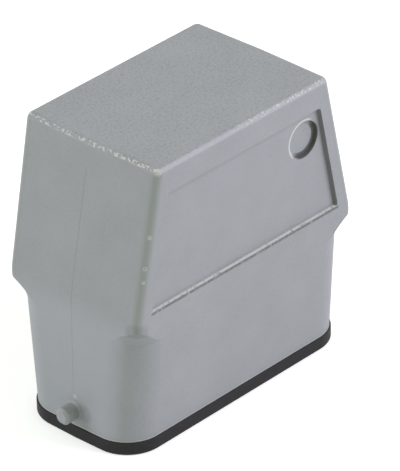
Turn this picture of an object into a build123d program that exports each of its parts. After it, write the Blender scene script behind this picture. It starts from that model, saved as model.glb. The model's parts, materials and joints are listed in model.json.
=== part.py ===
from build123d import *
import os
from math import radians, sqrt, tan

# Cable hood of a heavy duty rectangular connector, with its male contact insert.
# Millimetres, +X along the hood towards the cable entry, +Z up, Z = 0 under the rim seal.

# Contacts
contacts_per_row = 5
contact_pitch = 8.0
row_spacing = 9.2
pin_radius = 1.25
pin_length = 9.8
pin_tip_chamfer = 0.8
neck_radius = 1.8
neck_clearance = 0.08
barrel_radius = 2.7
barrel_length = 11.0
barrel_clearance = 0.15
barrel_floor = 3.0
wire_hole_radius = 1.75
wire_hole_depth = 8.5

# Clamp screws and the spring leaves under them
clamp_screw_radius = 1.5
clamp_screw_below_top = 4.0
clamp_head_radius = 2.2
clamp_head_height = 1.2
clamp_head_gap = 0.3
clamp_window_clearance = 0.2
guard_thickness = 0.35
guard_width = 1.5
guard_offset = 1.2
guard_length = 8.0
guard_gap = 0.05
guard_hook_gap = 0.1

# Moulded insert around the contacts
rear_margin_x = 4.5
rear_margin_y = 4.6
rear_height = 16.0
rear_edge_radius = 0.8
plinth_margin_x = 5.8
plinth_margin_y = 4.0
plinth_height = 4.0
plinth_edge_radius = 1.0
coding_notch = 2.4
flange_margin_x = 8.0
flange_margin_y = 2.5
flange_thickness = 3.0
flange_corner_radius = 3.0

# Fixing screws and the hood's bosses for them
fixing_from_end = 3.75
fixing_from_side = 3.7
fixing_radius = 1.5
fixing_length = 8.0
fixing_head_radius = 2.75
fixing_head_height = 2.0
fixing_hole_clearance = 0.2
boss_radius = 3.4
boss_height = 14.0
boss_hole_depth = 10.0
thread_clearance = 0.03
screw_slot_width = 0.8
screw_slot_depth = 0.8

# Earth brackets
bracket_thickness = 1.0
bracket_width = 7.6
bracket_gap = 0.1
bracket_foot = 7.0
bracket_leg = 12.0
blade_offset = 2.2
blade_width = 5.0
blade_length = 10.0
blade_clearance = 0.1
earth_screw_radius = 2.0
earth_screw_above_flange = 7.5
earth_screw_tip = 1.7
earth_head_radius = 3.4
earth_head_height = 2.2
earth_pocket_gap = 0.3
clamp_plate_side = 7.4
clamp_plate_thickness = 1.2
clamp_plate_chamfer = 0.8
clamp_plate_clearance = 0.15

# Rim seal
seal_height = 2.9
seal_proud = 0.3
seal_edge_chamfer = 0.3
tongue_width = 1.1
tongue_height = 1.8
groove_clearance = 0.05

# Hood walls, fitted round the insert
wall = 2.6
insert_gap_x = 0.65
insert_gap_y = 0.52
seat_above_rim = 18.1

# Hood, outside
skirt_height = 27.9
skirt_set_back = 0.55
skirt_flare = 2.6
skirt_corner_radius = 7.8
crown_height = 33.1
crown_set_back = 6.67
crown_flare = 0.35
crown_edge_radius = 1.4
body_edge_radius = 1.5
parting_draft_deg = 1.08
bend_rise = 1.3
bend_reach = 0.75
ledge_hollow_radius = 6.3
ledge_hollow_height = 5.25
ledge_step = 0.5

# Panel sunk in each long side
panel_depth = 0.95
panel_end_margin = 4.1
panel_bottom_gap = 2.6
panel_top_gap = 5.9
panel_draft_deg = 18.0
panel_corner_radius = 0.8

# Round recess in the panel of the front side
disc_radius = 4.0
disc_depth = 0.8
disc_from_end = 1.1
disc_from_top = 1.8

# Locking pegs
peg_radius = 1.8
peg_length = 3.7
peg_above_rim = 3.45
peg_end_bevel = 0.55
peg_root_flare = 0.5

# Cable entry
entry_bore_radius = 9.19
entry_wall = 2.8
entry_below_crown = 7.41
entry_set_back = 0.6
entry_length = 8.0
entry_chamfer = 0.7

# Plan of the insert that follows
contact_row = (contacts_per_row - 1) * contact_pitch
rear_length = contact_row + 2 * rear_margin_x
rear_width = row_spacing + 2 * rear_margin_y
plinth_length = contact_row + 2 * plinth_margin_x
plinth_width = row_spacing + 2 * plinth_margin_y
flange_length = rear_length + 2 * flange_margin_x
flange_width = rear_width + 2 * flange_margin_y
fixing_x = flange_length / 2 - fixing_from_end
fixing_y = flange_width / 2 - fixing_from_side
bracket_x = rear_length / 2 + bracket_gap
blade_x = bracket_x + blade_offset

# Plan of the hood that follows
rim_half_length = flange_length / 2 + insert_gap_x + wall
rim_half_width = flange_width / 2 + insert_gap_y + wall
shoulder_half_length = rim_half_length - skirt_set_back
shoulder_half_width = rim_half_width + skirt_flare
crown_half_length = shoulder_half_length - crown_set_back
cavity_corner_radius = skirt_corner_radius - wall
over = 5.0
far = 60.0
nearly = 0.01

# Heights that follow
rim_z = seal_height
seat_z = rim_z + seat_above_rim
shoulder_z = rim_z + skirt_height
bend_z = shoulder_z + bend_rise
crown_z = shoulder_z + crown_height
flange_z = seat_z - flange_thickness
contact_face_z = flange_z - plinth_height
rear_top_z = seat_z + rear_height
barrel_z = seat_z + barrel_floor
barrel_top_z = barrel_z + barrel_length
clamp_screw_z = barrel_top_z - clamp_screw_below_top
earth_screw_z = seat_z + earth_screw_above_flange
entry_pad_radius = entry_bore_radius + entry_wall
entry_z = crown_z - entry_below_crown - entry_pad_radius
entry_face_x = shoulder_half_length - entry_set_back

# Slopes that follow, each as the run per unit of height
draft = tan(radians(parting_draft_deg))
skirt_lean_x = skirt_set_back / (bend_z - rim_z)
skirt_lean_y = skirt_flare / skirt_height
body_lean_x = crown_set_back / (crown_z - bend_z)
body_lean_y = crown_flare / crown_height
ledge_reach = ledge_hollow_radius - sqrt(ledge_hollow_radius**2 - ledge_hollow_height**2)


def block(x0, x1, y0, y1, z0, z1):
    size = Box(x1 - x0, y1 - y0, z1 - z0, align=(Align.MIN, Align.MIN, Align.MIN))
    return Pos(x0, y0, z0) * size


# Planes of the front half's outer walls, each facing out; side is -1 for the end that looks to -X
def end_wall(side, lower, inset=0.0):
    if lower:
        return Plane(origin=(side * (rim_half_length - inset), 0, rim_z), z_dir=(side, -draft, skirt_lean_x))
    return Plane(origin=(side * (shoulder_half_length - inset), 0, bend_z), z_dir=(side, -draft, body_lean_x))


def long_wall(lower, inset=0.0):
    if lower:
        return Plane(origin=(0, inset - rim_half_width, rim_z), z_dir=(0, -1, -skirt_lean_y))
    return Plane(origin=(0, inset - shoulder_half_width, shoulder_z), z_dir=(0, -1, -body_lean_y))


# Front half with flat walls and sharp edges; both die halves draw away from the parting plane at Y = 0
def sharp_half(inset, z_low, z_high):
    half = block(-far, far, -far, 0, z_low, z_high)
    walls = [end_wall(side, lower, inset) for side in (-1, 1) for lower in (True, False)]
    walls += [long_wall(lower, inset) for lower in (True, False)]
    for plane in walls:
        half = split(half, bisect_by=plane, keep=Keep.BOTTOM)
    return half


# Edges that stand at the outer corners of a half
def standing_edges(shape):
    found = []
    for edge in shape.edges():
        box = edge.bounding_box()
        rising = box.size.Z > box.size.X and box.size.Z > box.size.Y
        near_end = min(abs(box.min.X), abs(box.max.X)) > crown_half_length / 2
        if rising and near_end and box.max.Y < -rim_half_width / 2:
            found.append(edge)
    return found


# Body from the ledges up: its ends bend softly inwards, its corners are nearly sharp
def body_half():
    body = sharp_half(0, shoulder_z - ledge_hollow_height + ledge_step, crown_z)
    bends = [e for e in body.edges() if abs(e.center().Z - bend_z) < nearly]
    turn = radians(end_wall(1, True).z_dir.get_angle(end_wall(1, False).z_dir))
    body = fillet(bends, bend_reach * bend_rise / tan(turn / 2))
    body = fillet(standing_edges(body), body_edge_radius)
    top = [e for e in body.edges() if e.bounding_box().min.Z > crown_z - nearly]
    return fillet([e for e in top if e.bounding_box().min.Y < -nearly], crown_edge_radius)


# Skirt below the shoulder, with its round corners
def skirt_half():
    body = sharp_half(0, rim_z, shoulder_z)
    return fillet(standing_edges(body), skirt_corner_radius)


# Axis of one round skirt corner: the line that keeps the corner radius from both walls
def corner_axis():
    side = long_wall(True).offset(-skirt_corner_radius)
    line = side.intersect(end_wall(-1, True).offset(-skirt_corner_radius))
    up = line.direction if line.direction.Z > 0 else -line.direction
    start = line.position + up * ((rim_z - line.position.Z) / up.Z)
    return Axis(start, up)


# Hollow under the ledge of one corner, turned about the corner's axis
def ledge_hollow():
    axis = corner_axis()
    radial = Vector(1, 0, 0).cross(axis.direction).cross(axis.direction).normalized()
    plane = Plane(origin=axis.position, x_dir=radial, z_dir=radial.cross(axis.direction))
    top = skirt_height / axis.direction.Z
    start = top - ledge_hollow_height
    inner = skirt_corner_radius
    outer = inner + ledge_reach
    curve = RadiusArc((inner, start), (outer, top), ledge_hollow_radius)
    closing = Polyline((outer, top), (outer + over, top), (outer + over, start), (inner, start))
    ring = revolve(plane * make_face(Wire([*curve.edges(), *closing.edges()])), axis)
    return ring & block(-far, axis.position.X, -far, axis.position.Y, rim_z, crown_z)


def outer_form():
    hollow = ledge_hollow()
    half = skirt_half() + (body_half() - hollow - mirror(hollow, about=Plane.YZ))
    return half + mirror(half, about=Plane.XZ)


def cavity_form():
    half = sharp_half(wall, rim_z - over, crown_z - wall)
    half = fillet(standing_edges(half), cavity_corner_radius)
    return half + mirror(half, about=Plane.XZ)


# Outline of the rim seen from below, moved out by grow
def rim_outline(grow):
    half_length = rim_half_length + grow
    half_width = rim_half_width + grow
    corner_x = half_length - half_width * draft
    points = [(half_length, 0), (corner_x, half_width), (-corner_x, half_width)]
    points += [(-half_length, 0), (-corner_x, -half_width), (corner_x, -half_width)]
    outline = make_face(Polyline(*points, close=True))
    corners = [v for v in outline.vertices() if abs(v.Y) > nearly]
    return fillet(corners, skirt_corner_radius + grow)


# Groove in the rim, or the tongue of the seal that fills it
def rim_band(width, height):
    middle = -wall / 2
    ring = rim_outline(middle + width / 2) - rim_outline(middle - width / 2)
    return Pos(0, 0, rim_z) * extrude(ring, height)


# Tool that sinks the panel into the front side, with drafted walls
def panel_tool():
    bottom = panel_bottom_gap
    top = crown_height - panel_top_gap
    points = [(-panel_end(bottom), bottom), (panel_end(bottom), bottom)]
    points += [(panel_end(top), top), (-panel_end(top), top)]
    outline = make_face(Polyline(*points, close=True))
    outline = fillet(outline.vertices(), panel_corner_radius)
    face = side_plane()
    sunk = extrude(face * outline, -panel_depth, taper=panel_draft_deg)
    return sunk + extrude(face * outline, over)


# Half length of the panel at a height above the shoulder: its ends follow the slant of the hood
def panel_end(height):
    return shoulder_half_length - (height - bend_rise) * body_lean_x - panel_end_margin


# Plane of the front side above the shoulder: local X along the hood, local Y up the side
def side_plane():
    return Plane(origin=(0, -shoulder_half_width, shoulder_z), x_dir=(1, 0, 0), z_dir=(0, -1, -body_lean_y))


def disc_tool():
    height = crown_height - panel_top_gap - disc_from_top - disc_radius
    across = panel_end(height) - disc_from_end - disc_radius
    place = side_plane() * Pos(across, height, -panel_depth - disc_depth)
    return place * Cylinder(disc_radius, over, align=(Align.CENTER, Align.CENTER, Align.MIN))


# Locking peg on the +X end, with a flared root and a bevelled end
def locking_peg():
    root = rim_half_length - peg_above_rim * skirt_lean_x
    tip = root + peg_length
    inside = root - wall / 2
    flare = peg_radius + peg_root_flare
    points = [(inside, 0), (inside, flare), (root, flare), (root + peg_root_flare, peg_radius)]
    points += [(tip - peg_end_bevel, peg_radius), (tip, peg_radius - peg_end_bevel), (tip, 0)]
    face = make_face(Polyline(*points, close=True))
    return Pos(0, 0, rim_z + peg_above_rim) * revolve(Plane.XZ * face, Axis.X)


def along_x(radius, x0, x1, z, y=0.0):
    rod = Cylinder(radius, x1 - x0, align=(Align.CENTER, Align.CENTER, Align.MIN))
    return Pos(x0, y, z) * Rot(0, 90, 0) * rod


def upright(radius, x, y, z0, z1):
    rod = Cylinder(radius, z1 - z0, align=(Align.CENTER, Align.CENTER, Align.MIN))
    return Pos(x, y, z0) * rod


# Boss in one inside corner that takes a fixing screw: round towards the insert, filled out to both walls
def fixing_boss(x, y):
    inner_x = x - boss_radius
    inner_y = y - boss_radius
    nose = RadiusArc((inner_x, y), (x, inner_y), -boss_radius)
    corner = [(x, inner_y), (rim_half_length, inner_y), (rim_half_length, shoulder_half_width)]
    corner += [(inner_x, shoulder_half_width), (inner_x, y)]
    outline = make_face(Wire([*nose.edges(), *Polyline(*corner).edges()]))
    boss = Pos(0, 0, seat_z) * extrude(outline, boss_height)
    middle = sharp_half(wall / 2, rim_z, crown_z)
    middle = fillet(standing_edges(middle), cavity_corner_radius)
    return boss & mirror(middle, about=Plane.XZ)


def all_corners(shape):
    pair = shape + mirror(shape, about=Plane.XZ)
    return pair + mirror(pair, about=Plane.YZ)


def fixing_places():
    return [(i * fixing_x, j * fixing_y) for i in (-1, 1) for j in (-1, 1)]


def make_hood():
    hood = outer_form() - cavity_form()
    hood += all_corners(fixing_boss(fixing_x, fixing_y))
    inner_x = entry_face_x - entry_length
    pad = along_x(entry_pad_radius, inner_x, entry_face_x, entry_z)
    pad = chamfer(pad.edges().group_by(Axis.X)[-1], entry_chamfer)
    hood += pad
    peg = locking_peg()
    hood = hood + peg + mirror(peg, about=Plane.YZ)
    hood -= along_x(entry_bore_radius, inner_x - over, entry_face_x + over, entry_z)
    for x, y in fixing_places():
        hood -= upright(fixing_radius + thread_clearance, x, y, seat_z - over, seat_z + boss_hole_depth)
    hood -= rim_band(tongue_width + 2 * groove_clearance, tongue_height + groove_clearance)
    panel = panel_tool()
    hood = hood - panel - mirror(panel, about=Plane.XZ)
    return hood - disc_tool()


def make_seal():
    ring = extrude(rim_outline(seal_proud) - rim_outline(-wall), seal_height)
    bottom = ring.edges().filter_by(lambda e: e.bounding_box().max.Z < nearly)
    ring = chamfer(bottom, seal_edge_chamfer)
    return ring + rim_band(tongue_width, tongue_height)


def rounded_block(length, width, radius, z0, z1):
    return Pos(0, 0, z0) * extrude(RectangleRounded(length, width, radius), z1 - z0)


def contact_places():
    middle = (contacts_per_row - 1) / 2
    rows = (-row_spacing / 2, row_spacing / 2)
    return [((i - middle) * contact_pitch, y) for y in rows for i in range(contacts_per_row)]


def outward(y):
    return 1 if y > 0 else -1


# Horizontal rod along Y, from offset a to offset b outwards of a contact's axis
def radial_rod(radius, x, y, z, a, b):
    rod = Cylinder(radius, b - a, align=(Align.CENTER, Align.CENTER, Align.MIN))
    return Pos(x, y + a * outward(y), z) * Rot(-90 * outward(y), 0, 0) * rod


def make_insert():
    flange = rounded_block(flange_length, flange_width, flange_corner_radius, flange_z, seat_z)
    plinth = rounded_block(plinth_length, plinth_width, plinth_edge_radius, contact_face_z, flange_z)
    rear = rounded_block(rear_length, rear_width, rear_edge_radius, seat_z, rear_top_z)
    body = flange + plinth + rear
    notch = Pos(plinth_length / 2, plinth_width / 2, contact_face_z) * Rot(0, 0, 45)
    body -= notch * Box(coding_notch, 2 * coding_notch, 2 * plinth_height)
    pocket_radius = barrel_radius + barrel_clearance
    window_radius = clamp_head_radius + clamp_window_clearance
    for x, y in contact_places():
        body -= upright(pocket_radius, x, y, barrel_z, rear_top_z + over)
        body -= upright(neck_radius + neck_clearance, x, y, contact_face_z - over, barrel_z + over)
        body -= radial_rod(window_radius, x, y, clamp_screw_z, 0, row_spacing)
    for x, y in fixing_places():
        body -= upright(fixing_radius + fixing_hole_clearance, x, y, flange_z - over, seat_z + over)
    for side in (-1, 1):
        body -= blade_slot(side)
        pocket_end = -earth_screw_tip - earth_pocket_gap
        body -= earth_rod(earth_screw_radius + earth_pocket_gap, side, pocket_end, over)
    return body


def blade_slot(side):
    gap = blade_clearance
    x = side * (blade_x + bracket_thickness / 2)
    slot = Box(bracket_thickness + 2 * gap, blade_width + 2 * gap, 2 * flange_thickness)
    return Pos(x, 0, seat_z - flange_thickness / 2) * slot


# Turned contact: pin, neck through the carrier's floor, barrel with a wire hole and a threaded side hole
def make_contact(x, y):
    tip_z = contact_face_z - pin_length
    pin = upright(pin_radius, x, y, tip_z, contact_face_z)
    pin = chamfer(pin.edges().group_by(Axis.Z)[0], pin_tip_chamfer)
    neck = upright(neck_radius, x, y, contact_face_z, barrel_z)
    barrel = upright(barrel_radius, x, y, barrel_z, barrel_top_z)
    body = pin + neck + barrel
    body -= upright(wire_hole_radius, x, y, barrel_top_z - wire_hole_depth, barrel_top_z + over)
    return body - radial_rod(clamp_screw_radius + thread_clearance, x, y, clamp_screw_z, 0, over)


# Cheese head with a straight slot, centred on +Z, its shank hanging down from Z = 0
def slotted_screw(shank_radius, shank_length, head_radius, head_height):
    shank = upright(shank_radius, 0, 0, -shank_length, 0)
    head = upright(head_radius, 0, 0, 0, head_height)
    slot = Pos(0, 0, head_height) * Box(4 * head_radius, screw_slot_width, 2 * screw_slot_depth)
    return shank + head - slot


def make_clamp_screws():
    tip = guard_offset + guard_thickness + guard_gap
    under_head = barrel_radius + clamp_head_gap
    screw = slotted_screw(clamp_screw_radius, under_head - tip, clamp_head_radius, clamp_head_height)
    screws = []
    for x, y in contact_places():
        turned = Rot(-90 * outward(y), 0, 0) * screw
        screws.append(Pos(x, y + under_head * outward(y), clamp_screw_z) * turned)
    return screws


# Spring leaf that hangs in the wire hole from a hook on the barrel's rim
def make_guard(x, y):
    s = outward(y)
    inner = guard_offset
    outer = guard_offset + guard_thickness
    hook = barrel_radius - guard_hook_gap
    top = barrel_top_z + guard_thickness
    points = [(inner, top), (hook, top), (hook, barrel_top_z), (outer, barrel_top_z)]
    points += [(outer, barrel_top_z - guard_length), (inner, barrel_top_z - guard_length)]
    face = make_face(Polyline(*[(y + s * a, z) for a, z in points], close=True))
    return Pos(x, 0, 0) * extrude(Plane.YZ * face, guard_width / 2, both=True)


def make_fixing_screws():
    shank = flange_thickness + fixing_length
    screw = slotted_screw(fixing_radius, shank, fixing_head_radius, fixing_head_height)
    return [Pos(x, y, flange_z) * Rot(180, 0, 0) * screw for x, y in fixing_places()]


# Rod along X through the earth leg of one side; a and b count outwards from the carrier's end wall
def earth_rod(radius, side, a, b):
    start = rear_length / 2
    ends = sorted((side * (start + a), side * (start + b)))
    return along_x(radius, ends[0], ends[1], earth_screw_z)


def make_earth_bracket(side):
    half = bracket_width / 2
    x0 = bracket_x
    x1 = bracket_x + bracket_thickness
    foot = block(x0, x0 + bracket_foot, -half, half, seat_z, seat_z + bracket_thickness)
    leg = block(x0, x1, -half, half, seat_z, seat_z + bracket_leg)
    blade = block(blade_x, blade_x + bracket_thickness, -blade_width / 2, blade_width / 2,
                  seat_z - blade_length, seat_z + bracket_thickness)
    bracket = foot + leg + blade
    bracket -= earth_rod(earth_screw_radius + thread_clearance, 1, 0, bracket_gap + 2 * bracket_thickness)
    return bracket if side > 0 else mirror(bracket, about=Plane.YZ)


def make_clamp_plate(side):
    x0 = bracket_x + bracket_thickness
    half = clamp_plate_side / 2
    plate = block(x0, x0 + clamp_plate_thickness, -half, half, earth_screw_z - half, earth_screw_z + half)
    plate = chamfer(plate.edges().filter_by(Axis.X), clamp_plate_chamfer)
    plate -= earth_rod(earth_screw_radius + clamp_plate_clearance, 1, 0, 2 * over)
    return plate if side > 0 else mirror(plate, about=Plane.YZ)


def make_earth_screws():
    under_head = bracket_x + bracket_thickness + clamp_plate_thickness
    shank = under_head - rear_length / 2 + earth_screw_tip
    screw = slotted_screw(earth_screw_radius, shank, earth_head_radius, earth_head_height)
    right = Pos(under_head, 0, earth_screw_z) * Rot(0, 90, 0) * screw
    return [mirror(right, about=Plane.YZ), right]


def save(shape, name):
    export_step(shape, os.path.join("parts", name + ".step"))


os.makedirs("parts", exist_ok=True)
save(make_hood(), "hood")
save(make_seal(), "rim_seal")
save(make_insert(), "insert_body")
for number, (place_x, place_y) in enumerate(contact_places(), start=1):
    save(make_contact(place_x, place_y), f"contact_{number:02d}")
    save(make_guard(place_x, place_y), f"wire_guard_{number:02d}")
save(Compound(children=make_clamp_screws()), "clamp_screws")
save(Compound(children=make_fixing_screws()), "fixing_screws")
save(Compound(children=make_earth_screws()), "earth_screws")
for sign, word in ((-1, "left"), (1, "right")):
    save(make_earth_bracket(sign), f"earth_bracket_{word}")
    save(make_clamp_plate(sign), f"earth_clamp_plate_{word}")
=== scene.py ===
# %% [markdown]
# # A heavy duty rectangular connector, dressed for its portrait
#
# The part is the closed, high hood of an industrial connector. It stands on its black rim
# seal, with the mouth down, and its contact insert is inside. The shapes come from a packed
# model, which is the fixed frame of this scene. They are already the real ones, so nothing is
# sculpted here. What is made here is the surface: the grey powder coat with its fine grain, the
# softened edges, the thin line where the casting die parted, and the metal, rubber and plastic
# of the pieces underneath.

# %% Load the frame
import bpy
import bmesh
import json
from math import cos, pi, radians, sin
from mathutils import Matrix, Vector


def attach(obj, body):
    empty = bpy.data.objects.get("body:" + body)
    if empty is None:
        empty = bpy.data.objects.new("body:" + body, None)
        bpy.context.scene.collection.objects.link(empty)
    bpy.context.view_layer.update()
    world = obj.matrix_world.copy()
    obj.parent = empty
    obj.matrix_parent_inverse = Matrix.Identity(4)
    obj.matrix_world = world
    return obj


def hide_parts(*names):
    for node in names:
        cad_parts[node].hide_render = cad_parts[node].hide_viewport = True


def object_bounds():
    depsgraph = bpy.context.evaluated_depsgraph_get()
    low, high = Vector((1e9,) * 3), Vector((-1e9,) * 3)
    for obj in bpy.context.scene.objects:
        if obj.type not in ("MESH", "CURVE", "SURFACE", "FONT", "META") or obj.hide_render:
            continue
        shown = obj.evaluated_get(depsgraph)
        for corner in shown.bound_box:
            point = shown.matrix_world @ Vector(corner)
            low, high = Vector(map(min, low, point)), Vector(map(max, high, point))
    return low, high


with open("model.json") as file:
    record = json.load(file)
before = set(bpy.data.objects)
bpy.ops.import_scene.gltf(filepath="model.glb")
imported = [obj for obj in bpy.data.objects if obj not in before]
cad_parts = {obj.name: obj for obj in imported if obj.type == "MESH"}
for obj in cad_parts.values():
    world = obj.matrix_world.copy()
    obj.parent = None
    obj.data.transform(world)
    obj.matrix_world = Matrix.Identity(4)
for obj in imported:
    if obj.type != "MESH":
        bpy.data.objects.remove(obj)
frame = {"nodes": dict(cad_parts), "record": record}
nodes = frame["nodes"]
cad_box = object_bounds()
print("nodes:", len(nodes))

# %% [markdown]
# ## The camera
#
# The photograph looks down at 31 degrees on one corner, from almost a metre away, with a long
# lens: its parallel edges hardly run together. A camera can be placed by eye, but then every
# edge is off by a few pixels. Here the view direction, the distance and the lens were fitted
# to the straight edges of the hood, so they are written as plain values. The view's axis
# misses the picture's centre by nine pixels, which a small shift takes up. The fit counted
# heights from a point 0.46 mm above this floor, so the eye is raised by that much.

# %% View direction
VIEW_TURN = radians(-46.344)
VIEW_RISE = radians(31.008)
VIEW_ROLL = radians(-1.454)


def camera_axes():
    back = Vector((sin(VIEW_TURN) * cos(VIEW_RISE), -cos(VIEW_TURN) * cos(VIEW_RISE), sin(VIEW_RISE)))
    right = (-back).cross(Vector((0, 0, 1))).normalized()
    up = right.cross(-back)
    c, s = cos(VIEW_ROLL), sin(VIEW_ROLL)
    return c * right + s * up, c * up - s * right, back


print("towards the camera:", [round(v, 3) for v in camera_axes()[2]])

# %% Camera
MM = 0.001
PHOTO_WIDTH = 400
PHOTO_HEIGHT = 471
FOCAL_PIXELS = 4921.95
AXIS_PIXEL = (209.03, 237.05)
VIEW_SHIFT = Vector((-4.722, -26.58, -987.64))
FIT_RAISED = 0.46


def make_camera():
    right, up, back = camera_axes()
    eye = -(right * VIEW_SHIFT.x + up * VIEW_SHIFT.y + back * VIEW_SHIFT.z)
    eye.z += FIT_RAISED
    data = bpy.data.cameras.new("portrait_camera")
    data.sensor_fit = "HORIZONTAL"
    data.sensor_width = 36.0
    data.lens = FOCAL_PIXELS / PHOTO_WIDTH * data.sensor_width
    data.shift_x = -(AXIS_PIXEL[0] - PHOTO_WIDTH / 2) / PHOTO_WIDTH
    data.shift_y = (AXIS_PIXEL[1] - PHOTO_HEIGHT / 2) / PHOTO_WIDTH
    data.clip_start = 0.05
    data.clip_end = 20.0
    camera = bpy.data.objects.new("portrait_camera", data)
    bpy.context.scene.collection.objects.link(camera)
    turn = Matrix((right, up, back)).transposed().to_4x4()
    camera.matrix_world = Matrix.Translation(eye * MM) @ turn
    bpy.context.scene.camera = camera
    return camera


camera = make_camera()
print("lens:", round(camera.data.lens, 1), "mm, eye:", [round(v, 3) for v in camera.location])

# %% [markdown]
# ## Node helpers
#
# Each light and finish below is a tree of nodes. Written out in full, such a tree hides its
# idea behind its wiring. So one helper adds a node and sets its values by name, one links two
# sockets, and one does a sum, where each side is a plain number or the output of another node.


# %% Node helpers
def add_node(tree, kind, **settings):
    node = tree.nodes.new(kind)
    for key, value in settings.items():
        if key in node.inputs:
            node.inputs[key].default_value = value
        else:
            setattr(node, key, value)
    return node


def link(tree, source, target):
    tree.links.new(source, target)


def math_node(tree, operation, a, b=None):
    node = add_node(tree, "ShaderNodeMath", operation=operation)
    for socket, value in zip(node.inputs, (a, b)):
        if isinstance(value, (int, float)):
            socket.default_value = value
        elif value is not None:
            link(tree, value, socket)
    return node.outputs[0]


def seen_rays(tree):
    """1 for the rays by which something is seen, directly, in a shine or through glass"""
    rays = add_node(tree, "ShaderNodeLightPath").outputs
    clear = math_node(tree, "MAXIMUM", rays["Is Camera Ray"], rays["Is Transmission Ray"])
    return math_node(tree, "MAXIMUM", clear, rays["Is Glossy Ray"])


print("node helpers: add, link, sum and seen rays")

# %% [markdown]
# ## The surround
#
# A product on white paper gets light from all round. The world gives this even light. It is
# weaker than the panels and a little warm and green, the hue of the darkest corner in the
# photograph. What is seen behind the hood has to be white all the same, so the rays by which
# something is seen get a white backdrop, and only the others get the surround.

# %% World
SURROUND_COLOUR = (0.92, 1.0, 0.74)
SURROUND_STRENGTH = 0.46


def make_world():
    world = bpy.data.worlds.new("studio")
    bpy.context.scene.world = world
    world.use_nodes = True
    tree = world.node_tree
    tree.nodes.clear()
    surround = add_node(tree, "ShaderNodeBackground", Color=(*SURROUND_COLOUR, 1), Strength=SURROUND_STRENGTH)
    backdrop = add_node(tree, "ShaderNodeBackground", Color=(1, 1, 1, 1), Strength=1.0)
    choice = add_node(tree, "ShaderNodeMixShader")
    link(tree, seen_rays(tree), choice.inputs["Fac"])
    link(tree, surround.outputs[0], choice.inputs[1])
    link(tree, backdrop.outputs[0], choice.inputs[2])
    out = add_node(tree, "ShaderNodeOutputWorld")
    link(tree, choice.outputs[0], out.inputs["Surface"])


make_world()
bpy.context.scene.view_settings.view_transform = "Standard"
print("world: a surround of strength", SURROUND_STRENGTH, "and white where it is seen")

# %% [markdown]
# ## The panels
#
# In the photograph the top, the end and the long side are all bright, and the corner between
# them, which looks at the camera, is the darkest part of the coat. One light at the camera
# would do the opposite. So the light comes from two big panels, one on each side of the
# camera's line. They are a cool white, because the long side looks slightly violet. Their
# strengths were found by rendering each light alone and adding the pictures up until every
# face had its right tone.

# %% Panels
LAMP_DISTANCE = 1.0
LAMP_WIDTH = 0.5
LAMP_HEIGHT = 0.7
LAMP_AIM = Vector((0, 0, 0.03))


def panel_light(name, direction, watts, colour):
    data = bpy.data.lights.new(name, "AREA")
    data.shape = "RECTANGLE"
    data.size = LAMP_WIDTH
    data.size_y = LAMP_HEIGHT
    data.energy = watts
    data.color = colour
    lamp = bpy.data.objects.new(name, data)
    bpy.context.scene.collection.objects.link(lamp)
    away = Vector(direction).normalized()
    lamp.location = away * LAMP_DISTANCE + LAMP_AIM
    lamp.rotation_euler = away.to_track_quat("Z", "Y").to_euler()
    print(name, "at", [round(v, 2) for v in lamp.location])


panel_light("panel_right", (0.54, -0.76, 0.66), 7.2, (0.82, 0.75, 1.0))
panel_light("panel_left", (-0.62, 0.62, 0.48), 4.5, (0.84, 0.80, 1.0))

# %% [markdown]
# ## The floor
#
# The hood stands on white paper, with a faint shadow close to it. A matt white sheet alone
# comes out grey where less of the light reaches it. Stronger light would bleach the hood. So
# the sheet also glows a little, but only for the rays by which it is seen, directly or in a
# shine, and the matt coat gets no extra light from below.

# %% Floor
FLOOR_HALF = 3.0
FLOOR_WHITE = 0.88
FLOOR_GLOW = 0.50


def floor_paper():
    material = bpy.data.materials.new("studio_floor")
    material.use_nodes = True
    tree = material.node_tree
    tree.nodes.clear()
    matt = add_node(tree, "ShaderNodeBsdfDiffuse", Color=(FLOOR_WHITE, FLOOR_WHITE, FLOOR_WHITE, 1))
    glow = add_node(tree, "ShaderNodeEmission", Color=(1, 1, 1, 1))
    link(tree, math_node(tree, "MULTIPLY", seen_rays(tree), FLOOR_GLOW), glow.inputs["Strength"])
    total = add_node(tree, "ShaderNodeAddShader")
    link(tree, matt.outputs[0], total.inputs[0])
    link(tree, glow.outputs[0], total.inputs[1])
    out = add_node(tree, "ShaderNodeOutputMaterial")
    link(tree, total.outputs[0], out.inputs["Surface"])
    return material


def make_floor():
    corners = [(x * FLOOR_HALF, y * FLOOR_HALF, 0) for x, y in ((-1, -1), (1, -1), (1, 1), (-1, 1))]
    mesh = bpy.data.meshes.new("studio_floor")
    mesh.from_pydata(corners, [], [(0, 1, 2, 3)])
    mesh.materials.append(floor_paper())
    floor = bpy.data.objects.new("studio_floor", mesh)
    bpy.context.scene.collection.objects.link(floor)
    return floor


floor = make_floor()
print("floor:", round(floor.dimensions.x, 1), "m square")

# %% [markdown]
# ## Finishes
#
# A finish could be a photograph wrapped around the object, but a picture has a fixed size and
# shows its seams. Here every finish starts from the same recipe of nodes: a colour that drifts
# a little over the surface, a roughness that varies with it or with a finer noise, and a bump
# from one or two layers of fine noise. The noise is laid out in the object's own metres, so
# its grain has a real size on every piece.


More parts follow.
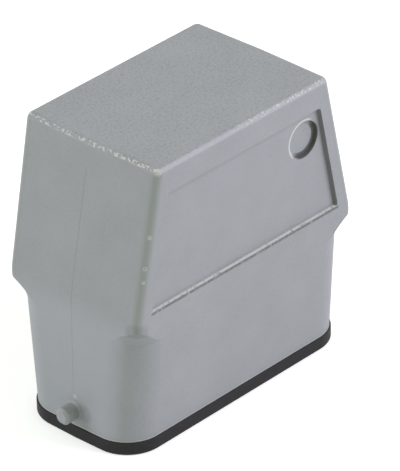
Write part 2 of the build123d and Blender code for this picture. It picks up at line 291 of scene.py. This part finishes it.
# %% Finish recipe
class Finish:
    """A principled material whose colour, roughness and bump come from layers of noise"""

    def __init__(self, name, metallic=0.0, roughness=0.5, specular=0.5):
        self.material = bpy.data.materials.new(name)
        self.material.use_nodes = True
        self.tree = self.material.node_tree
        self.shader = self.tree.nodes["Principled BSDF"]
        self.shader.inputs["Metallic"].default_value = metallic
        self.shader.inputs["Roughness"].default_value = roughness
        self.shader.inputs["Specular IOR Level"].default_value = specular
        self.place = add_node(self.tree, "ShaderNodeTexCoord").outputs["Object"]
        self.normal = None

    def noise(self, grain_mm, detail=2.0, stretch=(1, 1, 1)):
        mapping = add_node(self.tree, "ShaderNodeMapping")
        mapping.inputs["Scale"].default_value = [s / (grain_mm * MM) for s in stretch]
        link(self.tree, self.place, mapping.inputs["Vector"])
        noise = add_node(self.tree, "ShaderNodeTexNoise", Scale=1.0, Detail=detail)
        link(self.tree, mapping.outputs[0], noise.inputs["Vector"])
        return noise.outputs["Fac"]

    def ramp(self, value, *stops):
        ramp = add_node(self.tree, "ShaderNodeValToRGB")
        elements = ramp.color_ramp.elements
        while len(elements) < len(stops):
            elements.new(0.5)
        for element, (position, colour) in zip(elements, stops):
            element.position = position
            element.color = (*colour, 1)
        link(self.tree, value, ramp.inputs["Fac"])
        return ramp.outputs["Color"]

    def colour(self, source):
        link(self.tree, source, self.shader.inputs["Base Color"])

    def roughness(self, source, low, high):
        spread = math_node(self.tree, "MULTIPLY", source, high - low)
        link(self.tree, math_node(self.tree, "ADD", spread, low), self.shader.inputs["Roughness"])

    def bump(self, height, depth_mm, strength):
        bump = add_node(self.tree, "ShaderNodeBump", Strength=strength, Distance=depth_mm * MM)
        link(self.tree, height, bump.inputs["Height"])
        if self.normal:
            link(self.tree, self.normal, bump.inputs["Normal"])
        self.normal = bump.outputs["Normal"]
        link(self.tree, self.normal, self.shader.inputs["Normal"])


print("finish recipe: drifting colour, roughness and bump")

# %% [markdown]
# ## Masks
#
# The hood has marks that sit at one place: a chip, a line, a rubbed edge. Painting them by hand
# would need a picture too. A mask does it with sums: a value between 0 and 1, worked out from
# the place on the object in millimetres, or from the way the surface faces. Masks multiply
# where both have to hold, and the larger one counts where either will do. A stain then lays
# one colour over the rest wherever its mask is 1.


# %% Masks
class MarkedFinish(Finish):
    """A finish that also knows places and directions on the object, to put marks there"""

    def __init__(self, name, roughness):
        super().__init__(name, roughness=roughness)
        self.facing = add_node(self.tree, "ShaderNodeNewGeometry").outputs["Normal"]

    def part_of(self, vector, letter):
        parts = add_node(self.tree, "ShaderNodeSeparateXYZ")
        link(self.tree, vector, parts.inputs[0])
        return parts.outputs[letter]

    def millimetres(self, letter):
        return self.math("DIVIDE", self.part_of(self.place, letter), MM)

    def turned_to(self, letter):
        return self.part_of(self.facing, letter)

    def math(self, operation, a, b=None):
        return math_node(self.tree, operation, a, b)

    def above(self, value, low, high):
        """0 under low, 1 over high, a soft step between them"""
        step = add_node(self.tree, "ShaderNodeMapRange", interpolation_type="SMOOTHSTEP")
        link(self.tree, value, step.inputs["Value"])
        step.inputs["From Min"].default_value = low
        step.inputs["From Max"].default_value = high
        return step.outputs["Result"]

    def below(self, value, low, high):
        return self.math("SUBTRACT", 1.0, self.above(value, low, high))

    def between(self, value, low, high, soft):
        rise = self.above(value, low - soft, low + soft)
        fall = self.above(value, high - soft, high + soft)
        return self.math("SUBTRACT", rise, fall)

    def both(self, *masks):
        result = masks[0]
        for mask in masks[1:]:
            result = self.math("MULTIPLY", result, mask)
        return result

    def either(self, *masks):
        result = masks[0]
        for mask in masks[1:]:
            result = self.math("MAXIMUM", result, mask)
        return result

    def faces(self, letter, low, high):
        """1 where the surface looks along this axis, either way"""
        return self.above(self.math("ABSOLUTE", self.turned_to(letter)), low, high)

    def radius(self, across, up):
        squares = self.math("ADD", self.math("MULTIPLY", across, across), self.math("MULTIPLY", up, up))
        return self.math("SQRT", squares)

    def spot(self, centre_mm, radius_mm):
        gap = add_node(self.tree, "ShaderNodeVectorMath", operation="DISTANCE")
        link(self.tree, self.place, gap.inputs[0])
        gap.inputs[1].default_value = [c * MM for c in centre_mm]
        return self.below(gap.outputs["Value"], 0.6 * radius_mm * MM, radius_mm * MM)

    def mix(self, factor, first, second, blend="MIX"):
        mix = add_node(self.tree, "ShaderNodeMix", data_type="RGBA", blend_type=blend)
        for socket, value in ((mix.inputs[0], factor), (mix.inputs[6], first), (mix.inputs[7], second)):
            if isinstance(value, tuple):
                socket.default_value = (*value, 1)
            elif isinstance(value, float):
                socket.default_value = value
            else:
                link(self.tree, value, socket)
        return mix.outputs[2]

    def stain(self, tone, mask, strength, colour):
        return self.mix(self.math("MULTIPLY", mask, strength), tone, colour)


print("masks: places in millimetres and directions")

# %% [markdown]
# ## Worn and glinting upper edges
#
# The edges around the top carry pale dots, partly where use has rubbed the coat down to the
# metal and partly painted glints. The one over the end has a row of them. The one over the long
# side has fewer, and only on its far half, and a painted highlight runs all along it. A loose
# strip of geometry could carry the dots, but they are in the coat, not on it. The rounding of the
# edge is where the surface turns from level to upright, so the Z part of its direction finds it,
# and noise breaks it into dots.

# %% Worn edges
CROWN_Z = round(cad_box[1][2] / MM, 1)
DENSE_DOTS = 0.60
SPARSE_DOTS = 0.50


def crown_rounding(coat, low, high):
    turning = coat.between(coat.turned_to("Z"), low, high, 0.04)
    return coat.both(turning, coat.above(coat.millimetres("Z"), CROWN_Z - 3.0, CROWN_Z - 2.0))


# Pale dots on the top edges: partly rubbed coat, partly painted glints.
def worn_and_glinting_edges(coat):
    edge = crown_rounding(coat, 0.50, 0.90)
    dense = coat.above(coat.noise(DENSE_DOTS, 1.0), 0.49, 0.58)
    over_end = coat.both(edge, coat.faces("X", 0.25, 0.40), dense)
    far_half = coat.above(coat.millimetres("X"), -6.0, 4.0)
    sparse = coat.above(coat.noise(SPARSE_DOTS, 1.0), 0.55, 0.63)
    over_side = coat.both(edge, coat.faces("Y", 0.25, 0.40), far_half, sparse)
    return coat.either(over_end, over_side)


# Painted highlight along the rounding of the long side's top edge.
def lit_side_edge(coat):
    return coat.both(crown_rounding(coat, 0.30, 0.86), coat.faces("Y", 0.30, 0.45))


print("worn edges under the crown at", CROWN_Z, "mm")

# %% [markdown]
# ## Dark corners
#
# The corner towards the camera faces neither panel, and in the photograph it is darker and
# greener than both faces beside it. The lights give most of this, and a narrow band of painted
# shade on the rounding of each standing edge gives the rest. The edge leans with the slanted end,
# so the mask measures, at each height, how far a point lies inside the end's face and the side's.

# %% Dark corners
SHOULDER_Z = 30.8
BODY_HALF_LENGTH = 31.10
BODY_HALF_WIDTH = 17.45
END_SLANT = 0.210
CORNER_BAND = 1.75


# Painted shade on the rounding of each standing edge, darker than the faces beside it.
def body_corner_shade(coat):
    height = coat.math("SUBTRACT", coat.millimetres("Z"), SHOULDER_Z)
    end = coat.math("SUBTRACT", BODY_HALF_LENGTH, coat.math("MULTIPLY", height, END_SLANT))
    from_end = coat.math("SUBTRACT", end, coat.math("ABSOLUTE", coat.millimetres("X")))
    from_side = coat.math("SUBTRACT", BODY_HALF_WIDTH, coat.math("ABSOLUTE", coat.millimetres("Y")))
    inside = coat.math("MAXIMUM", from_end, from_side)
    near = coat.below(inside, CORNER_BAND - 0.25, CORNER_BAND + 0.15)
    return coat.both(near, coat.between(coat.millimetres("Z"), SHOULDER_Z - 1.0, CROWN_Z - 1.2, 0.4))


print("corner bands:", CORNER_BAND, "mm wide")

# %% [markdown]
# ## Chips, a glint and painted shade
#
# Knocks have left chips on the corner towards the camera and over the locking peg. The top
# spot on that corner is a painted highlight, not a chip. Painted shadow lies beside the peg and
# painted shade under the ledge. Each is a soft ball around one point, seen where the surface cuts
# through it. The chips and the glint are made ragged with noise.

# %% Chips and shaded places
# The first spot is a painted highlight; the others are chips.
CHIPS_AND_GLINT = (
    ((-23.8, -17.1, 63.2), 0.95),
    ((-26.6, -17.2, 50.2), 0.62),
    ((-28.0, -17.1, 43.8), 0.56),
    ((-28.6, -17.1, 41.0), 0.50),
    ((-31.6, -0.2, 9.5), 0.70),
)
# Painted shadow beside the peg root and painted shade under the near ledge.
SHADED = (
    ((-31.9, -2.7, 6.6), 2.4),
    ((-29.9, -16.2, 29.9), 2.8),
)


def spots(coat, places):
    return coat.either(*[coat.spot(centre, radius) for centre, radius in places])


def chipped_and_glint(coat):
    return coat.both(spots(coat, CHIPS_AND_GLINT), coat.above(coat.noise(0.40, 2.0), 0.34, 0.50))


print("chips:", len(CHIPS_AND_GLINT), "shaded places:", len(SHADED))

# %% [markdown]
# ## Ends and rim
#
# A thin line runs down the middle of each end, where the two halves of the casting die met. It
# is too fine to cut into the mesh, so it is a dark stain with a bump. The lower part of each end
# is painted a little paler, as painted light, and a painted highlight runs along the rim, just
# over the seal.

# %% Ends and rim
RIM_Z = 2.9
LINE_CORE = 0.08
LINE_REACH = 0.20


def parting_line(coat):
    line = coat.below(coat.math("ABSOLUTE", coat.millimetres("Y")), LINE_CORE, LINE_REACH)
    under_crown = coat.above(coat.math("SUBTRACT", CROWN_Z - 4.0, coat.millimetres("Z")), 0.0, 2.0)
    return coat.both(line, coat.faces("X", 0.80, 0.90), under_crown)


# Painted light: the lower, upright part of each end is made paler.
def lit_foot_of_ends(coat):
    low = coat.below(coat.millimetres("Z"), SHOULDER_Z - 4.0, SHOULDER_Z + 2.0)
    return coat.both(low, coat.faces("X", 0.80, 0.95))


# Painted highlight: a pale line along the rim, just over the seal.
def rim_highlight(coat):
    return coat.below(coat.millimetres("Z"), RIM_Z + 0.20, RIM_Z + 0.40)


print("rim at", RIM_Z, "mm, parting line", 2 * LINE_REACH, "mm wide")

# %% [markdown]
# ## The sunk panel
#
# The panel on the long side is cut into the solid. Its lower lip looks up and gets a broken
# painted highlight, with a broken line of painted shadow under it. Its far end gets painted
# shade. Stronger lights would show this too, but would spoil the even tones, so the marks are
# painted light and shade.

# %% Panel marks
PANEL_FOOT_Z = 33.4
PANEL_TOP_Z = 58.4
PANEL_HALF_FOOT = 26.9
PANEL_END_X = 19.0


def panel_reach(coat, z_low, z_high):
    along = coat.math("ABSOLUTE", coat.millimetres("X"))
    reach = coat.below(along, PANEL_HALF_FOOT - 0.1, PANEL_HALF_FOOT + 0.3)
    return coat.both(reach, coat.between(coat.millimetres("Z"), z_low, z_high, 0.05))


# Painted shadow: a broken dark line under the panel's lower lip.
def lip_shadow_line(coat):
    broken = coat.above(coat.noise(0.7, 2.0), 0.25, 0.50)
    return coat.both(panel_reach(coat, PANEL_FOOT_Z - 0.48, PANEL_FOOT_Z + 0.02), broken)


# Painted highlight along the upward-facing lower lip.
def lip_light(coat):
    upward = coat.above(coat.turned_to("Z"), 0.45, 0.70)
    broken = coat.above(coat.noise(0.6, 2.0), 0.26, 0.48)
    return coat.both(panel_reach(coat, PANEL_FOOT_Z + 0.04, PANEL_FOOT_Z + 0.22), upward, broken)


# Painted shade on the panel's far end wall.
def panel_end_shade(coat):
    inward = coat.above(coat.math("MULTIPLY", coat.turned_to("X"), -1.0), 0.45, 0.70)
    beyond = coat.above(coat.millimetres("X"), PANEL_END_X, PANEL_END_X + 0.5)
    height = coat.between(coat.millimetres("Z"), PANEL_FOOT_Z - 0.2, PANEL_TOP_Z, 0.2)
    return coat.both(inward, beyond, height)


print("panel marks from", PANEL_FOOT_Z, "to", PANEL_TOP_Z, "mm")

# %% [markdown]
# ## The round recess
#
# The rim of the round recess gets a painted highlight on its upper left and painted shade on its
# lower right.
# Both are rings, each cut down to a crescent by the direction from the recess's centre.

# %% Recess rims
DISC_CENTRE_X = 17.8
DISC_CENTRE_Z = 52.2
DISC_RADIUS = 4.0
LIT_UP = 0.62
LIT_LEFT = 0.78


# Painted highlight on the rim's upper left, painted shade on its lower right.
def disc_rims(coat):
    across = coat.math("SUBTRACT", coat.millimetres("X"), DISC_CENTRE_X)
    up = coat.math("SUBTRACT", coat.millimetres("Z"), DISC_CENTRE_Z)
    radius = coat.radius(across, up)
    rise = coat.math("MULTIPLY", up, LIT_UP)
    lean = coat.math("SUBTRACT", rise, coat.math("MULTIPLY", across, LIT_LEFT))
    lit = coat.math("DIVIDE", lean, radius)
    unlit = coat.math("MULTIPLY", lit, -1.0)
    outer = coat.between(radius, DISC_RADIUS - 0.55, DISC_RADIUS + 0.42, 0.10)
    inner = coat.between(radius, DISC_RADIUS - 0.95, DISC_RADIUS + 0.15, 0.12)
    front = coat.above(coat.math("MULTIPLY", coat.millimetres("Y"), -1.0), 10.0, 11.0)
    pale = coat.both(outer, coat.above(lit, 0.0, 0.4), front)
    dark = coat.both(inner, coat.above(unlit, -0.1, 0.45), front)
    return pale, dark


print("recess rims:", DISC_RADIUS, "mm radius")

# %% [markdown]
# ## The thread in the cable entry
#
# The entry's thread is cut after coating, so the metal is bare there. The solid has a plain
# bore. A real helix would cost thousands of triangles in a place that the photograph doesn't
# show, so a bump draws it: a triangle wave along the axis, moved on by one tooth in each turn.

# %% Entry thread
ENTRY_Z = 44.5
ENTRY_THREAD_RADIUS = 9.6
ENTRY_PITCH = 1.5
ENTRY_START_X = 20.0


def entry_bore(coat):
    across = coat.millimetres("Y")
    up = coat.math("SUBTRACT", coat.millimetres("Z"), ENTRY_Z)
    within = coat.below(coat.radius(across, up), ENTRY_THREAD_RADIUS - 0.1, ENTRY_THREAD_RADIUS)
    along = coat.millimetres("X")
    turned = coat.math("DIVIDE", coat.math("ARCTAN2", across, up), 2 * pi)
    phase = coat.math("ADD", coat.math("DIVIDE", along, ENTRY_PITCH), turned)
    bore = coat.both(within, coat.above(along, ENTRY_START_X, ENTRY_START_X + 0.5))
    return bore, coat.math("PINGPONG", phase, 0.5)


print("entry thread: pitch", ENTRY_PITCH, "mm")

# %% [markdown]
# ## Powder coat
#
# The hood is a die casting under a grey powder coat. The coat has the fine peel of its kind,
# strongest on the top, where there are also some tiny pits. One noise gives both the speckled
# tone and the bump, so that each dark speck is a low place too. The marks, some real and some
# painted light and shade, are laid on in order, each with its mask, its strength and its colour,
# so a later one covers an earlier one.

# %% Coat tone
COAT_GREY = (0.335, 0.352, 0.362)
COAT_PALE = (0.372, 0.390, 0.400)
COAT_DEEP = (0.300, 0.316, 0.325)
# Dark for the pits and the parting line, and painted shade and shadow for the other marks.
COAT_DARK_MARK_AND_SHADE = (0.070, 0.072, 0.064)
GRAIN_LOW = (0.78, 0.79, 0.76)
GRAIN_MIDDLE = (0.98, 0.98, 0.97)
GRAIN_HIGH = (1.07, 1.07, 1.04)
DRIFT_SIZE = 9.0
PIT_SIZE = 1.1


def coat_tone(coat, sand):
    drift = coat.ramp(coat.noise(DRIFT_SIZE, 3.0), (0.3, COAT_DEEP), (0.5, COAT_GREY), (0.7, COAT_PALE))
    tone = coat.mix(0.35, COAT_GREY, drift)
    upward = coat.above(coat.turned_to("Z"), 0.5, 0.95)
    grain = coat.ramp(sand, (0.30, GRAIN_LOW), (0.50, GRAIN_MIDDLE), (0.70, GRAIN_HIGH))
    strength = coat.math("ADD", coat.math("MULTIPLY", upward, 0.65), 0.22)
    tone = coat.mix(strength, tone, grain, "MULTIPLY")
    pits = coat.both(coat.above(coat.noise(PIT_SIZE, 1.0), 0.72, 0.77), upward)
    return coat.stain(tone, pits, 0.22, COAT_DARK_MARK_AND_SHADE)


print("coat grey:", COAT_GREY)

# %% Powder coat
# Pale for rubbed coat and chips, and painted highlight on the lip, the recess rim, the hood rim and the
# glints.
COAT_RUBBED_AND_HIGHLIGHT = (0.64, 0.64, 0.60)
COAT_LIT = (0.50, 0.51, 0.53)
# Painted shade for the corner bands.
COAT_CORNER_SHADE = (0.306, 0.334, 0.316)
# Painted light for the lower part of each end.
COAT_FOOT_LIGHT = (0.400, 0.424, 0.455)
BARE_METAL = (0.72, 0.73, 0.74)
SAND_SIZE = 0.52
PEEL_SIZE = 1.6
THREAD_DEPTH = 0.9


# Real marks, painted light and painted shade, in the order they are laid on.
def coat_marks(coat, line, worn_and_glints):
    pale, dark = disc_rims(coat)
    return (
        (body_corner_shade(coat), 0.85, COAT_CORNER_SHADE),
        (lit_foot_of_ends(coat), 0.45, COAT_FOOT_LIGHT),
        (line, 0.10, COAT_DARK_MARK_AND_SHADE),
        (lip_light(coat), 0.90, COAT_RUBBED_AND_HIGHLIGHT),
        (lip_shadow_line(coat), 0.70, COAT_DARK_MARK_AND_SHADE),
        (panel_end_shade(coat), 0.60, COAT_DARK_MARK_AND_SHADE),
        (dark, 0.90, COAT_DARK_MARK_AND_SHADE),
        (pale, 0.90, COAT_RUBBED_AND_HIGHLIGHT),
        (lit_side_edge(coat), 0.40, COAT_LIT),
        (rim_highlight(coat), 0.60, COAT_RUBBED_AND_HIGHLIGHT),
        (spots(coat, SHADED), 0.22, COAT_DARK_MARK_AND_SHADE),
        (chipped_and_glint(coat), 0.55, COAT_RUBBED_AND_HIGHLIGHT),
        (worn_and_glints, 0.85, COAT_RUBBED_AND_HIGHLIGHT),
    )


def powder_coat():
    coat = MarkedFinish("powder_coat", roughness=0.5)
    sand = coat.noise(SAND_SIZE, 3.0)
    line = parting_line(coat)
    worn_and_glints = worn_and_glinting_edges(coat)
    tone = coat_tone(coat, sand)
    for mask, strength, colour in coat_marks(coat, line, worn_and_glints):
        tone = coat.stain(tone, mask, strength, colour)
    bore, thread = entry_bore(coat)
    coat.colour(coat.mix(bore, tone, BARE_METAL))
    link(coat.tree, bore, coat.shader.inputs["Metallic"])
    coat.roughness(coat.noise(0.8, 1.0), 0.42, 0.62)
    coat.bump(sand, 0.045, 0.7)
    coat.bump(coat.noise(PEEL_SIZE, 2.0), 0.05, 0.5)
    coat.bump(coat.math("MULTIPLY", line, -1.0), 0.05, 0.8)
    coat.bump(coat.math("MULTIPLY", worn_and_glints, -1.0), 0.05, 0.6)
    coat.bump(coat.both(bore, thread), THREAD_DEPTH, 1.0)
    return coat.material


finishes = {"hood": powder_coat()}
print("powder coat nodes:", len(finishes["hood"].node_tree.nodes))

# %% [markdown]
# ## Rubber and plastic
#
# The seal is black rubber with a dull skin and a little dust in its grain. The contact carrier is
# a pale grey moulding, smoother than the coat, with the faint mottle of filled plastic. Plain
# colours would do at this distance, but a close view would then look like a computer drawing.

# %% Rubber and plastic
RUBBER_DARK = (0.007, 0.007, 0.007)
RUBBER_DUST = (0.017, 0.017, 0.017)
PLASTIC_DEEP = (0.56, 0.55, 0.51)
PLASTIC_PALE = (0.62, 0.61, 0.57)


def rubber():
    skin = Finish("seal_rubber", roughness=0.6, specular=0.3)
    dust = skin.noise(1.2, 3.0)
    skin.colour(skin.ramp(dust, (0.35, RUBBER_DARK), (0.7, RUBBER_DUST)))
    skin.roughness(dust, 0.5, 0.75)
    skin.bump(skin.noise(0.3, 2.0), 0.02, 0.6)
    return skin.material


def moulded_plastic():
    skin = Finish("insert_plastic", roughness=0.45)
    drift = skin.noise(5.0, 2.0)
    skin.colour(skin.ramp(drift, (0.3, PLASTIC_DEEP), (0.7, PLASTIC_PALE)))
    skin.roughness(skin.noise(0.6, 2.0), 0.38, 0.55)
    skin.bump(skin.noise(0.25, 1.0), 0.01, 0.5)
    return skin.material


finishes["seal"] = rubber()
finishes["insert"] = moulded_plastic()
print("soft and moulded finishes:", finishes["seal"].name, finishes["insert"].name)

# %% [markdown]
# ## Metals
#
# The contacts are turned brass under silver plate, the guards are spring strip, and the screws
# and the earth brackets are zinc plated steel. All metals share one function. Noise stretched
# along one or two axes gives the fine lines that turning and rolling leave. A coarser noise
# gives the dull patches of tarnish, and lets the roughness vary with them.

# %% Metals
SILVER = ((0.80, 0.76, 0.68), (0.66, 0.58, 0.46))
SPRING_STEEL = ((0.66, 0.65, 0.62), (0.50, 0.49, 0.46))
ZINC_BRIGHT = ((0.66, 0.66, 0.65), (0.52, 0.51, 0.47))
ZINC_ROLLED = ((0.62, 0.61, 0.56), (0.48, 0.46, 0.40))
AROUND_Z = (0.05, 0.05, 1)
ALONG_Y = (1, 0.05, 1)
ALONG_Z = (1, 1, 0.05)
EVEN = (1, 1, 1)


def worked_metal(name, bright, dull, grain_mm, stretch):
    metal = Finish(name, metallic=1.0, roughness=0.3)
    lines = metal.noise(grain_mm, 2.0, stretch)
    tarnish = metal.noise(1.8, 3.0)
    metal.colour(metal.ramp(tarnish, (0.35, dull), (0.6, bright)))
    metal.roughness(tarnish, 0.2, 0.4)
    metal.bump(lines, 0.008, 0.5)
    return metal.material


finishes["contact"] = worked_metal("silver_plate", *SILVER, 0.5, AROUND_Z)
finishes["guard"] = worked_metal("spring_strip", *SPRING_STEEL, 0.4, ALONG_Z)
finishes["screw"] = worked_metal("zinc_screw", *ZINC_BRIGHT, 0.3, EVEN)
finishes["bracket"] = worked_metal("zinc_sheet", *ZINC_ROLLED, 0.5, ALONG_Y)
print("finishes:", ", ".join(sorted(finishes)))

# %% [markdown]
# ## Softened edges
#
# A casting has no knife edges, and neither has a coated, turned or moulded piece. A bevel in the
# shader would round the light but not the outline. So each solid of the frame gets a finished
# copy: its doubled points are joined, every crisp edge gets a small rounded bevel, and the
# flats keep their flat shading. The copy stands in for the solid.

# %% Edge helpers
JOIN_MM = 0.002
SLIVER_MM = 0.001
CRISP_ANGLE = radians(28)
FLAT_WEIGHT = 80


def joined_mesh(node):
    mesh = nodes[node].data.copy()
    mesh.name = node + "_finished"
    work = bmesh.new()
    work.from_mesh(mesh)
    bmesh.ops.remove_doubles(work, verts=work.verts, dist=JOIN_MM * MM)
    bmesh.ops.dissolve_degenerate(work, dist=SLIVER_MM * MM, edges=work.edges)
    work.to_mesh(mesh)
    work.free()
    if mesh.attributes.get("custom_normal"):
        mesh.attributes.remove(mesh.attributes["custom_normal"])
    return mesh


def soften(piece, width_mm):
    bevel = piece.modifiers.new("soft_edges", "BEVEL")
    bevel.limit_method = "ANGLE"
    bevel.angle_limit = CRISP_ANGLE
    bevel.width = width_mm * MM
    bevel.segments = 2
    bevel.use_clamp_overlap = True
    bevel.harden_normals = False
    flats = piece.modifiers.new("flat_faces", "WEIGHTED_NORMAL")
    flats.keep_sharp = False
    flats.weight = FLAT_WEIGHT


print("edges over", round(CRISP_ANGLE * 180 / pi), "degrees are softened")

# %% Finished pieces
SLOT_OF = {row["node"]: row["material_slot"] for row in frame["record"]["subparts"]}
EDGE_MM = {
    "hood": 0.22,
    "seal": 0.15,
    "insert": 0.15,
    "contact": 0.08,
    "guard": 0.05,
    "screw": 0.08,
    "bracket": 0.1,
}


def finished_copy(node):
    slot = SLOT_OF[node]
    mesh = joined_mesh(node)
    mesh.materials.clear()
    mesh.materials.append(finishes[slot])
    for polygon in mesh.polygons:
        polygon.use_smooth = True
        polygon.material_index = 0
    piece = bpy.data.objects.new(node + "_finished", mesh)
    bpy.context.scene.collection.objects.link(piece)
    soften(piece, EDGE_MM[slot])
    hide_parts(node)
    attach(piece, "root")
    return piece


pieces = [finished_copy(node) for node in sorted(nodes)]
print("finished copies:", len(pieces))

# %% [markdown]
# ## Sizes
#
# The finished copies have to stay inside the box of the solids, or the part would no longer
# have its true size. The box of the solids is taken when the frame is loaded.


print("scene built")
